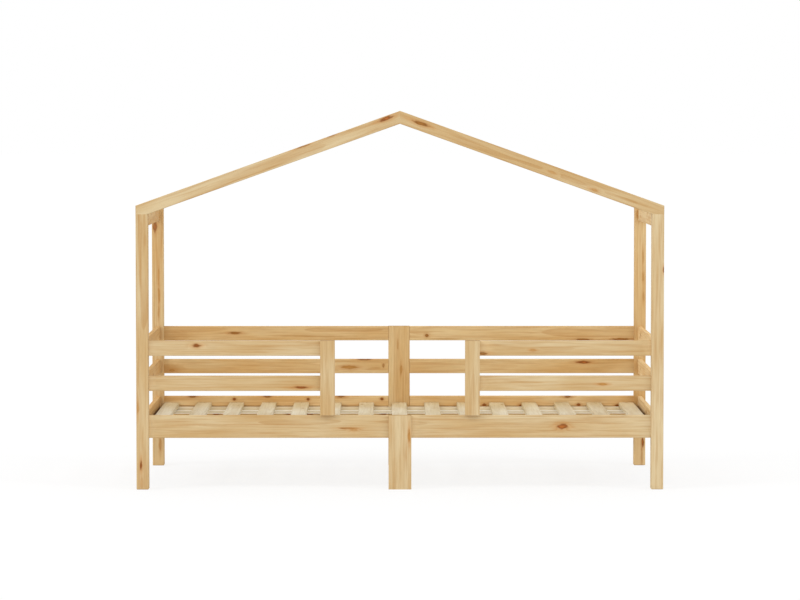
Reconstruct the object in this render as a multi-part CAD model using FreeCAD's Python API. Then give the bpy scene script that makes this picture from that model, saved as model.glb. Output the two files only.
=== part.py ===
"""Solid pine house frame bed for a child, with side guards and a gap left open to climb in.

Millimetres. +X runs along the bed, +Y from the front (entrance) side to the rear, +Z up.
The origin is on the floor under the middle of the bed.
"""

import FreeCAD, Part
import math
import os

V = FreeCAD.Vector

# ---------------------------------------------------------------- driving dimensions

# Mattress, and the play left between it and the boards
mattress_length = 2000.0
mattress_width = 900.0
mattress_play = 14.0

# Timber sections
post_section = 48.0  # square posts and rafters
board_thickness = 18.0  # every rail, board and beam
rail_height = 90.0
board_height = 60.0
top_beam_height = 53.0
ridge_beam_height = 45.0
centre_post_width = 90.0
guard_post_width = 58.0
arris = 2.0  # flat taken off each long edge; the sawn cleats and strips have none

# Heights and openings
rail_bottom = 203.0  # clear height under the bed
guard_clearance = 96.0  # rail top to lower board
board_gap = 79.0  # lower board to upper board
roof_seat = 1087.0  # top of the corner posts
roof_pitch = 19.7  # degrees
entrance_width = 514.0  # between the two guard posts
ridge_beam_drop = 1.0  # ridge beam below the roof surface

# Slatted base
slat_count = 15
slat_width = 62.0
slat_thickness = 18.0
slat_drop = 27.0  # slat tops below the rail tops
slat_end_gap = 17.0  # end rail to the first slat
slat_side_play = 3.0  # slat end to the rail
strip_width = 20.0
strip_height = 12.0
cleat_depth = 45.0
cleat_height = 14.0
cleat_end_play = 1.0

# Stub tenons
tenon_cheek = 4.0  # wood taken off each face
tenon_edge = 8.0  # wood taken off the top and bottom edges
tenon_length = 12.0
tenon_play = 0.1  # at each cheek
tenon_end_play = 1.0  # at the bottom of the mortise
tenon_root = 3.0  # how far a tenon's solid starts inside its own board
fixing_gap = 20.0  # left between twin tenons for a bolt or screw

# Loose key glued across each ridge mitre
key_length = 40.0
key_thickness = 10.0
key_height = 24.0
key_play = 0.1

# Countersunk wood screws, in the top boards and the roof
screw_diameter = 6.0
screw_length = 90.0
screw_head_diameter = 12.0
screw_head_height = 3.5
screw_sink = 0.5  # head below a flat face
roof_screw_sink = 6.0  # head below the rafter's slope, at the screw's axis

# Rail bolts and the square nuts that they pull on, dropped into pockets from inside the bed
bolt_diameter = 8.0
bolt_head_diameter = 16.0
bolt_head_height = 5.0
bolt_sink = 1.0
bolt_past_nut = 2.0
nut_width = 13.0
nut_thickness = 6.5
nut_setback = 40.0  # from the rail's shoulder

# Shared by all hardware
bore_play = 0.15  # round every screw, bolt and nut
bore_end_play = 1.0
socket_share = 0.5  # hexagon key across flats, as a share of the head
socket_depth = 2.5

# ---------------------------------------------------------------- derived places

half_post = post_section / 2
half_board = board_thickness / 2
inner_half_length = (mattress_length + mattress_play) / 2  # inner faces of the end boards
inner_half_width = (mattress_width + mattress_play) / 2  # inner faces of the side boards
end_centre = inner_half_length + half_board  # centre plane of the posts and end boards
side_centre = inner_half_width + half_board
half_length = end_centre + half_post
half_width = side_centre + half_post
post_inner_x = end_centre - half_post
post_inner_y = side_centre - half_post

rail_top = rail_bottom + rail_height
lower_board = rail_top + guard_clearance
upper_board = lower_board + board_height + board_gap
guard_top = upper_board + board_height
rail_middle = rail_bottom + rail_height / 2

half_centre_post = centre_post_width / 2
guard_post_inner = entrance_width / 2
guard_post_outer = guard_post_inner + guard_post_width

slope = math.tan(math.radians(roof_pitch))
ridge_underside = roof_seat + post_inner_x * slope
ridge_top = ridge_underside + post_section / math.cos(math.radians(roof_pitch))
ridge_beam_top = ridge_top - half_board * slope - ridge_beam_drop
ridge_beam_middle = ridge_beam_top - ridge_beam_height / 2

slat_top = rail_top - slat_drop
strip_top = slat_top - slat_thickness
cleat_top = strip_top - strip_height
cleat_bottom = cleat_top - cleat_height
slat_half_length = inner_half_width - slat_side_play
slat_reach = inner_half_length - slat_end_gap - slat_width / 2  # centre of the outermost slats
cleat_inner = inner_half_width - cleat_depth
cleat_half_length = post_inner_x - cleat_end_play
end_cleat_half_length = cleat_inner - cleat_end_play

SIDES = (("left", -1), ("right", 1))
ROWS = (("front", -1), ("rear", 1))
LEVELS = (("lower", lower_board), ("upper", upper_board))
CENTRE_POSTS = {"front": "front_centre_leg", "rear": "rear_centre_post"}
BOARD_KINDS = {"front": "guard", "rear": "board"}

# Turns that point a joint's or fastener's own +X axis along each direction of the bed
TURNS = {
    "+x": FreeCAD.Rotation(V(0, 0, 1), 0),
    "-x": FreeCAD.Rotation(V(0, 0, 1), 180),
    "+y": FreeCAD.Rotation(V(0, 0, 1), 90),
    "-y": FreeCAD.Rotation(V(0, 0, 1), -90),
    "+z": FreeCAD.Rotation(V(0, 1, 0), -90),
    "-z": FreeCAD.Rotation(V(0, 1, 0), 90),
}

pieces = {}  # one solid for each timber
hardware = {}  # lists of identical fasteners


# ---------------------------------------------------------------- shapes


def span(a, b):
    """A pair of coordinates in rising order."""
    return min(a, b), max(a, b)


def block(x, y, z):
    """A box between three pairs of coordinates."""
    return Part.makeBox(x[1] - x[0], y[1] - y[0], z[1] - z[0], V(x[0], y[0], z[0]))


def along(edge, axis):
    """Whether a straight edge runs along the given axis."""
    direction = edge.Vertexes[1].Point - edge.Vertexes[0].Point
    return direction.getAngle(axis) < 0.01 or direction.getAngle(-axis) < 0.01


def timber(x, y, z, grain):
    """A sawn length of timber with its four long edges eased."""
    solid = block(x, y, z)
    return solid.makeChamfer(arris, [e for e in solid.Edges if along(e, grain)])


def placed(shape, at, facing):
    """A copy of a shape whose own +X axis now points along facing, with its origin at a point."""
    copy = shape.copy()
    copy.Placement = FreeCAD.Placement(at, TURNS[facing])
    return copy


def facing(axis, sign):
    """The name of the direction along an axis letter."""
    return ("+" if sign > 0 else "-") + axis


def stub_tenon(height, fixing=False, play=0.0):
    """The stub tenon of a board end, shoulder at X = 0. With a fixing it is a twin tenon."""
    half_thick = half_board - tenon_cheek + play
    half_high = height / 2 - tenon_edge + play
    reach = tenon_length + (tenon_end_play if play else 0)
    tongue = block((-tenon_root, reach), (-half_thick, half_thick), (-half_high, half_high))
    if fixing:
        gap = fixing_gap / 2 - play
        past = 2 * half_thick
        tongue = tongue.cut(block((-tenon_root, reach), (-past, past), (-gap, gap)))
    return tongue


def turned(steps, play=0.0, lead=0.0):
    """A turned pin along +X from X = 0, each step given as length, first and last diameter.

    With play it is the bore for that pin, and with a lead it starts that far before the pin.
    """
    x = 0.0
    outline = [V(-lead, 0, 0)]
    if lead:
        outline.append(V(-lead, steps[0][1] / 2 + play, 0))
    for length, first, last in steps:
        outline.append(V(x, first / 2 + play, 0))
        x += length
        outline.append(V(x, last / 2 + play, 0))
    if play:
        outline[-1].x += bore_end_play
    outline.append(V(outline[-1].x, 0, 0))
    corners = [p for i, p in enumerate(outline) if i == 0 or p.distanceToPoint(outline[i - 1]) > 0]
    return Part.Face(Part.makePolygon(corners + corners[:1])).revolve(V(0, 0, 0), V(1, 0, 0), 360)


def fastener(steps):
    """A screw or bolt with a hexagon socket in its head."""
    corner_radius = steps[0][1] * socket_share / 2 / math.cos(math.pi / 6)
    turns = [math.pi / 3 * i for i in range(6)]
    corners = [V(0, math.cos(a) * corner_radius, math.sin(a) * corner_radius) for a in turns]
    socket = Part.Face(Part.makePolygon(corners + corners[:1])).extrude(V(socket_depth, 0, 0))
    return turned(steps).cut(socket)


# ---------------------------------------------------------------- joints


def tenon_joint(member, host, at, direction, height, fixing=False):
    """Gives one piece a stub tenon at its end and the other piece the mortise for it."""
    pieces[member] = pieces[member].fuse(placed(stub_tenon(height, fixing), at, direction))
    pieces[host] = pieces[host].cut(placed(stub_tenon(height, fixing, tenon_play), at, direction))


def fix(group, names, at, direction, steps, lead):
    """Drives a fastener whose head top is at a point, and bores every piece that it passes."""
    bore = placed(turned(steps, bore_play, lead), at, direction)
    for name in names:
        pieces[name] = pieces[name].cut(bore)
    hardware.setdefault(group, []).append(placed(fastener(steps), at, direction))


def wood_screw(group, names, at, direction, lead):
    """Drives one of the countersunk wood screws."""
    steps = (
        (screw_head_height, screw_head_diameter, screw_diameter),
        (screw_length - screw_head_height, screw_diameter, screw_diameter),
    )
    fix(group, names, at, direction, steps, lead)


# ---------------------------------------------------------------- timbers


def make_corner_posts():
    """Four square posts, eased round the foot as well."""
    for row, sy in ROWS:
        for side, sx in SIDES:
            solid = block(
                span(sx * post_inner_x, sx * half_length),
                span(sy * post_inner_y, sy * half_width),
                (0, roof_seat),
            )
            foot = [e for e in solid.Edges if along(e, V(0, 0, 1)) or e.BoundBox.ZMax < 1]
            pieces[f"{row}_{side}_post"] = solid.makeChamfer(arris, foot)


def make_rafters():
    """Two pairs of rafters: level seat on the post, plumb outer end, upright mitre at the ridge."""
    end_top = ridge_top - half_length * slope
    for row, sy in ROWS:
        near, far = span(sy * post_inner_y, sy * half_width)
        for side, sx in SIDES:
            outline = [
                V(sx * half_length, near, roof_seat),
                V(sx * post_inner_x, near, roof_seat),
                V(0, near, ridge_underside),
                V(0, near, ridge_top),
                V(sx * half_length, near, end_top),
            ]
            solid = Part.Face(Part.makePolygon(outline + outline[:1])).extrude(V(0, far - near, 0))
            long_edges = [e for e in solid.Edges if along(e, V(sx, 0, -slope))]
            plumb = [e for e in solid.Edges if along(e, V(0, 0, 1))]
            end_edges = [e for e in plumb if abs(e.CenterOfMass.x) > post_inner_x]
            pieces[f"{row}_{side}_rafter"] = solid.makeChamfer(arris, long_edges + end_edges)


def make_centre_posts():
    """The front leg stops at the rail top; the rear post goes on up to carry the boards."""
    for (row, sy), top in zip(ROWS, (rail_top, guard_top)):
        pieces[CENTRE_POSTS[row]] = timber(
            (-half_centre_post, half_centre_post),
            span(sy * inner_half_width, sy * half_width),
            (0, top),
            V(0, 0, 1),
        )


def make_rails_and_boards():
    """Half rails and rear boards from corner post to centre post, front guards to guard posts."""
    for row, sy in ROWS:
        y = span(sy * inner_half_width, sy * (inner_half_width + board_thickness))
        for side, sx in SIDES:
            half = span(sx * half_centre_post, sx * post_inner_x)
            pieces[f"{row}_{side}_rail"] = timber(half, y, (rail_bottom, rail_top), V(1, 0, 0))
            if row == "front":
                half = span(sx * guard_post_outer, sx * post_inner_x)
            for level, bottom in LEVELS:
                name = f"{row}_{side}_{level}_{BOARD_KINDS[row]}"
                pieces[name] = timber(half, y, (bottom, bottom + board_height), V(1, 0, 0))


def make_guard_posts():
    """Short posts on the front rail that end the guards beside the entrance."""
    for side, sx in SIDES:
        pieces[f"{side}_guard_post"] = timber(
            span(sx * guard_post_inner, sx * guard_post_outer),
            (-half_width, -inner_half_width),
            (rail_top, guard_top),
            V(0, 0, 1),
        )


def make_end_frames():
    """Rail, two boards and top beam between the posts at each end."""
    y = (-post_inner_y, post_inner_y)
    for side, sx in SIDES:
        x = span(sx * inner_half_length, sx * (inner_half_length + board_thickness))
        pieces[f"{side}_end_rail"] = timber(x, y, (rail_bottom, rail_top), V(0, 1, 0))
        pieces[f"{side}_top_beam"] = timber(x, y, (roof_seat - top_beam_height, roof_seat), V(0, 1, 0))
        for level, bottom in LEVELS:
            pieces[f"{side}_{level}_end_board"] = timber(x, y, (bottom, bottom + board_height), V(0, 1, 0))


def make_ridge_beam():
    """The beam that joins the two roof peaks, just under the roof surface."""
    pieces["ridge_beam"] = timber(
        (-half_board, half_board),
        (-post_inner_y, post_inner_y),
        (ridge_beam_top - ridge_beam_height, ridge_beam_top),
        V(0, 1, 0),
    )


def make_slatted_base():
    """Cleats all round the inside of the rails, two strips on them, and the slats across the strips."""
    for row, sy in ROWS:
        pieces[f"{row}_cleat"] = block(
            (-cleat_half_length, cleat_half_length),
            span(sy * cleat_inner, sy * inner_half_width),
            (cleat_bottom, cleat_top),
        )
        strip_reach = slat_reach + slat_width / 2
        pieces[f"{row}_slat_strip"] = block(
            (-strip_reach, strip_reach),
            span(sy * (slat_half_length - strip_width), sy * slat_half_length),
            (cleat_top, strip_top),
        )
    for side, sx in SIDES:
        pieces[f"{side}_cleat"] = block(
            span(sx * (inner_half_length - cleat_depth), sx * inner_half_length),
            (-end_cleat_half_length, end_cleat_half_length),
            (cleat_bottom, cleat_top),
        )
    pitch = 2 * slat_reach / (slat_count - 1)
    for number in range(slat_count):
        middle = -slat_reach + number * pitch
        pieces[f"slat_{number + 1:02d}"] = timber(
            (middle - slat_width / 2, middle + slat_width / 2),
            (-slat_half_length, slat_half_length),
            (strip_top, slat_top),
            V(0, 1, 0),
        )


# ---------------------------------------------------------------- joinery of each sub-assembly


def join_end_frames():
    """Glued tenons hold each end's rail, boards and top beam in its two posts."""
    for side, sx in SIDES:
        members = [
            (f"{side}_end_rail", rail_bottom, rail_height),
            (f"{side}_lower_end_board", lower_board, board_height),
            (f"{side}_upper_end_board", upper_board, board_height),
            (f"{side}_top_beam", roof_seat - top_beam_height, top_beam_height),
        ]
        for row, sy in ROWS:
            for name, bottom, height in members:
                shoulder = V(sx * end_centre, sy * post_inner_y, bottom + height / 2)
                tenon_joint(name, f"{row}_{side}_post", shoulder, facing("y", sy), height)


def join_rails():
    """Each half rail is bolted to its corner post and tenoned into the centre post."""
    nut_reach = nut_setback + nut_thickness + bolt_past_nut
    steps = (
        (bolt_head_height, bolt_head_diameter, bolt_head_diameter),
        (post_section - bolt_sink - bolt_head_height + nut_reach, bolt_diameter, bolt_diameter),
    )
    for row, sy in ROWS:
        y = sy * side_centre
        for side, sx in SIDES:
            rail, post = f"{row}_{side}_rail", f"{row}_{side}_post"
            shoulder = V(sx * post_inner_x, y, rail_middle)
            tenon_joint(rail, post, shoulder, facing("x", sx), rail_height, fixing=True)
            shoulder = V(sx * half_centre_post, y, rail_middle)
            tenon_joint(rail, CENTRE_POSTS[row], shoulder, facing("x", -sx), rail_height)
            head = V(sx * (half_length - bolt_sink), y, rail_middle)
            fix("rail_bolts", [rail, post], head, facing("x", -sx), steps, bolt_sink + bore_end_play)

            nut_seat = post_inner_x - nut_setback
            half_nut = nut_width / 2
            nut = block(
                span(sx * nut_seat, sx * (nut_seat - nut_thickness)),
                (y - half_nut, y + half_nut),
                (rail_middle - half_nut, rail_middle + half_nut),
            )
            bolt_end = post_inner_x - nut_reach - 2 * bore_end_play
            pocket = block(
                span(sx * (nut_seat + bore_play), sx * bolt_end),
                span(sy * (inner_half_width - bore_end_play), y + sy * (half_nut + bore_play)),
                (rail_middle - half_nut - bore_play, rail_middle + half_nut + bore_play),
            )
            pieces[rail] = pieces[rail].cut(pocket)
            thread = placed(turned(steps, bore_play), head, facing("x", -sx))
            hardware.setdefault("rail_nuts", []).append(nut.cut(thread))


def join_boards():
    """Side boards are tenoned at both ends, and the top ones are also screwed through the corner post."""
    for level, bottom in LEVELS:
        screwed = level == "upper"
        z = bottom + board_height / 2
        for row, sy in ROWS:
            for side, sx in SIDES:
                y = sy * side_centre
                board, post = f"{row}_{side}_{level}_{BOARD_KINDS[row]}", f"{row}_{side}_post"
                shoulder = V(sx * post_inner_x, y, z)
                tenon_joint(board, post, shoulder, facing("x", sx), board_height, fixing=screwed)
                if screwed:
                    head, lead = V(sx * (half_length - screw_sink), y, z), screw_sink + bore_end_play
                    wood_screw("board_screws", [board, post], head, facing("x", -sx), lead)
                inner_post, x = CENTRE_POSTS[row], half_centre_post
                if row == "front":
                    inner_post, x = f"{side}_guard_post", guard_post_outer
                tenon_joint(board, inner_post, V(sx * x, y, z), facing("x", -sx), board_height)


def join_guard_posts():
    """Each guard post stands on the rail, with a tenon in the rail's top edge."""
    for side, sx in SIDES:
        foot = V(sx * (guard_post_inner + guard_post_width / 2), -side_centre, rail_top)
        tenon_joint(f"{side}_guard_post", f"front_{side}_rail", foot, "-z", guard_post_width)


def join_rafter_feet():
    """Each post has a twin tenon in its rafter's level seat, with a screw down between them."""
    over_post = ridge_top - end_centre * slope
    lead = roof_screw_sink + screw_head_diameter * slope  # so the bore's rim clears the slope
    for row, sy in ROWS:
        for side, sx in SIDES:
            post, rafter = f"{row}_{side}_post", f"{row}_{side}_rafter"
            seat = V(sx * end_centre, sy * side_centre, roof_seat)
            tenon_joint(post, rafter, seat, "+z", post_section, fixing=True)
            head = V(seat.x, seat.y, over_post - roof_screw_sink)
            wood_screw("rafter_screws", [post, rafter], head, "-z", lead)


def join_ridge():
    """A loose key crosses each mitre, and the ridge beam's tenon is trapped between the rafters."""
    for row, sy in ROWS:
        rafters = [f"{row}_left_rafter", f"{row}_right_rafter"]
        shoulder = V(0, sy * post_inner_y, ridge_beam_middle)
        mortise = placed(stub_tenon(ridge_beam_height, play=tenon_play), shoulder, facing("y", sy))
        tongue = placed(stub_tenon(ridge_beam_height), shoulder, facing("y", sy))
        pieces["ridge_beam"] = pieces["ridge_beam"].fuse(tongue)

        centre = V(0, sy * side_centre, ridge_beam_middle)
        slot = ridge_key(centre, key_play)
        for rafter in rafters:
            pieces[rafter] = pieces[rafter].cut(mortise).cut(slot)
        hardware.setdefault("ridge_keys", []).append(ridge_key(centre))


def ridge_key(centre, play=0.0):
    """The loose key of a ridge mitre, or with play the slot for it."""
    x, y, z = key_length / 2 + play, key_thickness / 2 + play, key_height / 2 + play
    return block((-x, x), (centre.y - y, centre.y + y), (centre.z - z, centre.z + z))


# ---------------------------------------------------------------- build and write


def build():
    """Makes every timber, then every joint and its hardware."""
    make_corner_posts()
    make_rafters()
    make_centre_posts()
    make_rails_and_boards()
    make_guard_posts()
    make_end_frames()
    make_ridge_beam()
    make_slatted_base()
    join_end_frames()
    join_rails()
    join_boards()
    join_guard_posts()
    join_rafter_feet()
    join_ridge()


def write():
    """Writes one STEP file for each timber and one for each kind of fastener."""
    os.makedirs("parts", exist_ok=True)
    for name, shape in pieces.items():
        solids = shape.removeSplitter().Solids
        assert len(solids) == 1, f"{name} is in {len(solids)} pieces"
        solids[0].exportStep(f"parts/{name}.step")
    for name, shapes in hardware.items():
        Part.Compound([s.Solids[0] for s in shapes]).exportStep(f"parts/{name}.step")
    print(len(pieces), "timbers and", sum(len(s) for s in hardware.values()), "fasteners")


build()
write()
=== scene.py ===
"""Looks of a house frame bed: planed and lacquered pine, raw pine slats, zinc-plated fixings, plain studio.

Lengths are in metres in the bed's own frame: +X along the bed, +Y from the entrance side to the rear, +Z up.
"""

import logging
import math
import random
from collections.abc import Iterator
from dataclasses import dataclass, replace
from enum import Enum

import bmesh
import bpy
from mathutils import Matrix, Vector


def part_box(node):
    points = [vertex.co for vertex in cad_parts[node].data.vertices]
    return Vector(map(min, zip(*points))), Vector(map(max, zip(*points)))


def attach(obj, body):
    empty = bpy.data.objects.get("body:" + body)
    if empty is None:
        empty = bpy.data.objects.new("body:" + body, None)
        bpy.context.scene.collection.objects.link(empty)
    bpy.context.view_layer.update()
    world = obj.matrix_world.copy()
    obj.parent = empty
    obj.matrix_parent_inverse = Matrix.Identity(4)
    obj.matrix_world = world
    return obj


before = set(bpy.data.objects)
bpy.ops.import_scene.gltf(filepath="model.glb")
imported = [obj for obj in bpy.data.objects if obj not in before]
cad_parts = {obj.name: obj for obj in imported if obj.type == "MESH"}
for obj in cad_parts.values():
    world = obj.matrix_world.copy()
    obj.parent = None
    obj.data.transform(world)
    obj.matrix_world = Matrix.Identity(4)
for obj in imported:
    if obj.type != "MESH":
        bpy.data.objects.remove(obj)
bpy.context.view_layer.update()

LOG = logging.getLogger("bed")
ROOT = "root"
ROOF_PITCH = math.radians(19.7)
ROOF_COS = math.cos(ROOF_PITCH)
ROOF_SIN = math.sin(ROOF_PITCH)

Colour = tuple[float, float, float, float]
Sockets = dict[str | int, object]
WHITE: Colour = (1.0, 1.0, 1.0, 1.0)


def srgb(red: int, green: int, blue: int) -> Colour:
    """Turns a colour as the eye reads it, 0 to 255, into the linear colour that shaders take.

    Args:
        red: Red, 0 to 255.
        green: Green, 0 to 255.
        blue: Blue, 0 to 255.

    Returns:
        The linear colour, with full alpha.
    """
    linear = []
    for level in (red, green, blue):
        share = level / 255
        linear.append(share / 12.92 if share <= 0.04045 else ((share + 0.055) / 1.055) ** 2.4)
    return (linear[0], linear[1], linear[2], 1.0)


def fill_slots(node: str, material: bpy.types.Material) -> None:
    """Puts one material in every material slot of a node."""
    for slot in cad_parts[node].material_slots:
        slot.material = material


# ---- shader trees


class Wire:
    """One value in a shader tree. Arithmetic on it adds Math nodes."""

    def __init__(self, bench: "Bench", socket: bpy.types.NodeSocket) -> None:
        """Keeps the output socket that carries the value."""
        self.bench = bench
        self.socket = socket

    def __add__(self, other: "Wire | float") -> "Wire":
        """This value plus another."""
        return self.bench.maths("ADD", self, other)

    def __sub__(self, other: "Wire | float") -> "Wire":
        """This value minus another."""
        return self.bench.maths("SUBTRACT", self, other)

    def __mul__(self, other: "Wire | float") -> "Wire":
        """This value times another."""
        return self.bench.maths("MULTIPLY", self, other)

    def __truediv__(self, other: "Wire | float") -> "Wire":
        """This value over another."""
        return self.bench.maths("DIVIDE", self, other)

    def __pow__(self, power: float) -> "Wire":
        """This value to a power."""
        return self.bench.maths("POWER", self, power)


class Bench:
    """Builds the node tree of one material or world."""

    def __init__(self, owner: bpy.types.Material | bpy.types.World) -> None:
        """Empties the tree of a new material or world.

        Args:
            owner: The material or world.
        """
        owner.use_nodes = True
        self.owner = owner
        self.tree = owner.node_tree
        self.tree.nodes.clear()

    def node(
        self, kind: str, sockets: Sockets | None = None, settings: dict[str, object] | None = None
    ) -> bpy.types.Node:
        """Adds a node, sets its settings and then fills its sockets.

        Args:
            kind: The node's type.
            sockets: A value or a Wire for each input, by name or number.
            settings: Attributes of the node, or "stops" for a colour ramp's stops.

        Returns:
            The new node.
        """
        node = self.tree.nodes.new(kind)
        for name, value in (settings or {}).items():
            if name == "stops":
                self._set_stops(node.color_ramp, value)
            else:
                setattr(node, name, value)
        for key, value in (sockets or {}).items():
            if isinstance(value, Wire):
                self.tree.links.new(value.socket, node.inputs[key])
            else:
                node.inputs[key].default_value = value
        return node

    @staticmethod
    def _set_stops(ramp: bpy.types.ColorRamp, stops: list[tuple[float, Colour]]) -> None:
        """Gives a colour ramp its stops.

        Args:
            ramp: The colour ramp.
            stops: The position and the colour of each stop.
        """
        while len(ramp.elements) < len(stops):
            ramp.elements.new(1.0)
        for element, (position, colour) in zip(ramp.elements, stops):
            element.position = position
            element.color = colour

    def wire(self, node: bpy.types.Node, output: str | int = 0) -> Wire:
        """The value at a node's output."""
        return Wire(self, node.outputs[output])

    def maths(self, operation: str, first: Wire | float, second: Wire | float = 0.0) -> Wire:
        """The result of a Math node on one value or two."""
        return self.wire(self.node("ShaderNodeMath", {0: first, 1: second}, {"operation": operation}))

    def absolute(self, value: Wire) -> Wire:
        """A value without its sign."""
        return self.maths("ABSOLUTE", value)

    def smooth(self, value: Wire, low: float, high: float, first: float = 0.0, last: float = 1.0) -> Wire:
        """Eases a value from first to last while it goes from low to high."""
        sockets = {"Value": value, 1: low, 2: high, 3: first, 4: last}
        return self.wire(self.node("ShaderNodeMapRange", sockets, {"interpolation_type": "SMOOTHSTEP"}))

    def dot(self, vector: Wire, axis: Vector) -> Wire:
        """The part of a vector that lies along an axis."""
        node = self.node("ShaderNodeVectorMath", {0: vector, 1: axis}, {"operation": "DOT_PRODUCT"})
        return self.wire(node, "Value")

    def minus(self, vector: Wire, other: Vector) -> Wire:
        """A vector less a fixed one."""
        return self.wire(self.node("ShaderNodeVectorMath", {0: vector, 1: other}, {"operation": "SUBTRACT"}))

    def stack(self, x: Wire | float, y: Wire | float, z: Wire | float) -> Wire:
        """A vector from three values."""
        return self.wire(self.node("ShaderNodeCombineXYZ", {0: x, 1: y, 2: z}))

    def place(self) -> Wire:
        """Where a point lies in the piece's own coordinates."""
        return self.wire(self.node("ShaderNodeTexCoord"), "Object")

    def noise(self, vector: Wire, detail: float, scale: float = 1.0, output: str = "Fac") -> Wire:
        """A noise of so much detail. Its scale is 1 where it is already in the vector."""
        sockets = {"Vector": vector, "Scale": scale, "Detail": detail}
        return self.wire(self.node("ShaderNodeTexNoise", sockets), output)

    def mix(
        self, share: Wire | float, first: Wire | Colour, second: Wire | Colour, blend: str = "MIX"
    ) -> Wire:
        """A share of the second colour over the first: the Mix node's inputs 6 and 7 and its output 2."""
        settings = {"data_type": "RGBA", "blend_type": blend}
        return self.wire(self.node("ShaderNodeMix", {0: share, 6: first, 7: second}, settings), 2)

    def finish(self, sockets: Sockets) -> bpy.types.Material:
        """Ends the tree in a Principled shader.

        Args:
            sockets: A value or a Wire for each input of the shader.

        Returns:
            The finished material.
        """
        shader = self.wire(self.node("ShaderNodeBsdfPrincipled", sockets))
        self.node("ShaderNodeOutputMaterial", {"Surface": shader})
        return self.owner


# ---- pine


class Grain(Enum):
    """How a timber lies: the directions along its grain, across its face and through its thickness."""

    RAIL = ((1, 0, 0), (0, 0, 1), (0, 1, 0))
    CROSS_RAIL = ((0, 1, 0), (0, 0, 1), (1, 0, 0))
    POST = ((0, 0, 1), (1, 0, 0), (0, 1, 0))
    SLAT = ((0, 1, 0), (1, 0, 0), (0, 0, 1))
    STRIP = ((1, 0, 0), (0, 1, 0), (0, 0, 1))
    LEFT_RAFTER = ((ROOF_COS, 0, ROOF_SIN), (-ROOF_SIN, 0, ROOF_COS), (0, 1, 0))
    RIGHT_RAFTER = ((ROOF_COS, 0, -ROOF_SIN), (ROOF_SIN, 0, ROOF_COS), (0, 1, 0))

    @property
    def axes(self) -> tuple[Vector, Vector, Vector]:
        """The three directions as vectors."""
        return Vector(self.value[0]), Vector(self.value[1]), Vector(self.value[2])


class KnotWood(Enum):
    """The wood of a knot: the colour of its middle and of its rim."""

    RED = (srgb(172, 98, 42), srgb(122, 58, 16))
    DARK = (srgb(136, 72, 26), srgb(120, 62, 20))
    BROWN = (srgb(154, 100, 42), srgb(124, 74, 24))
    PALE = (srgb(184, 134, 72), srgb(168, 118, 56))


RED, DARK, BROWN, PALE = KnotWood


@dataclass(frozen=True)
class Knot:
    """A branch that the saw cut through, placed on the bed. The coordinate through the face doesn't count."""

    x: float = 0.0
    y: float = 0.0
    z: float = 0.0
    length: float = 0.020
    width: float = 0.012
    wood: KnotWood = RED
    strength: float = 0.9
    bulge: float = 1.2


# The colours of streaks: resin, also used for painted shade beside the rear-left post; two browns of painted
# shade; and a pale colour of painted light.
RESIN_AND_SHADE = srgb(178, 130, 71)
SHADED = srgb(112, 72, 38)
DEEP_SHADE = srgb(96, 44, 4)
PAINTED_LIGHT = srgb(236, 208, 160)


@dataclass(frozen=True)
class Streak:
    """Wood of another colour along the grain, placed as a knot is. Some streaks are painted shade or painted
    light instead.

    A side of 1 or -1 keeps it to the half of the timber that lies that way through it.
    """

    x: float = 0.0
    y: float = 0.0
    z: float = 0.0
    length: float = 0.30
    width: float = 0.006
    strength: float = 0.35
    wood: Colour = RESIN_AND_SHADE
    side: int = 0


@dataclass(frozen=True)
class PineFinish:
    """Planed pine: its colours, how strongly its grain shows, and how rough it is left."""

    name: str
    pale: Colour = srgb(210, 190, 151)
    warm: Colour = srgb(196, 165, 117)
    latewood: Colour = srgb(174, 128, 72)
    stain: Colour = srgb(190, 138, 82)
    end_tint: Colour = srgb(214, 196, 168)
    # The edge colour, and how much of it is painted along the eased edges: a painted highlight.
    edge: Colour = srgb(232, 214, 178)
    edge_highlight: float = 0.0
    # A tint towards the timber's far end along the grain: painted shade.
    far_shade_tint: Colour = WHITE
    ring_pitch: float = 0.0056
    ring_strength: float = 0.45
    wander: float = 0.012
    ripple: float = 0.0022
    fleck_strength: float = 0.50
    fibre_strength: float = 0.20
    roughness: float = 0.60
    specular: float = 0.06
    relief: float = 0.0003


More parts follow.
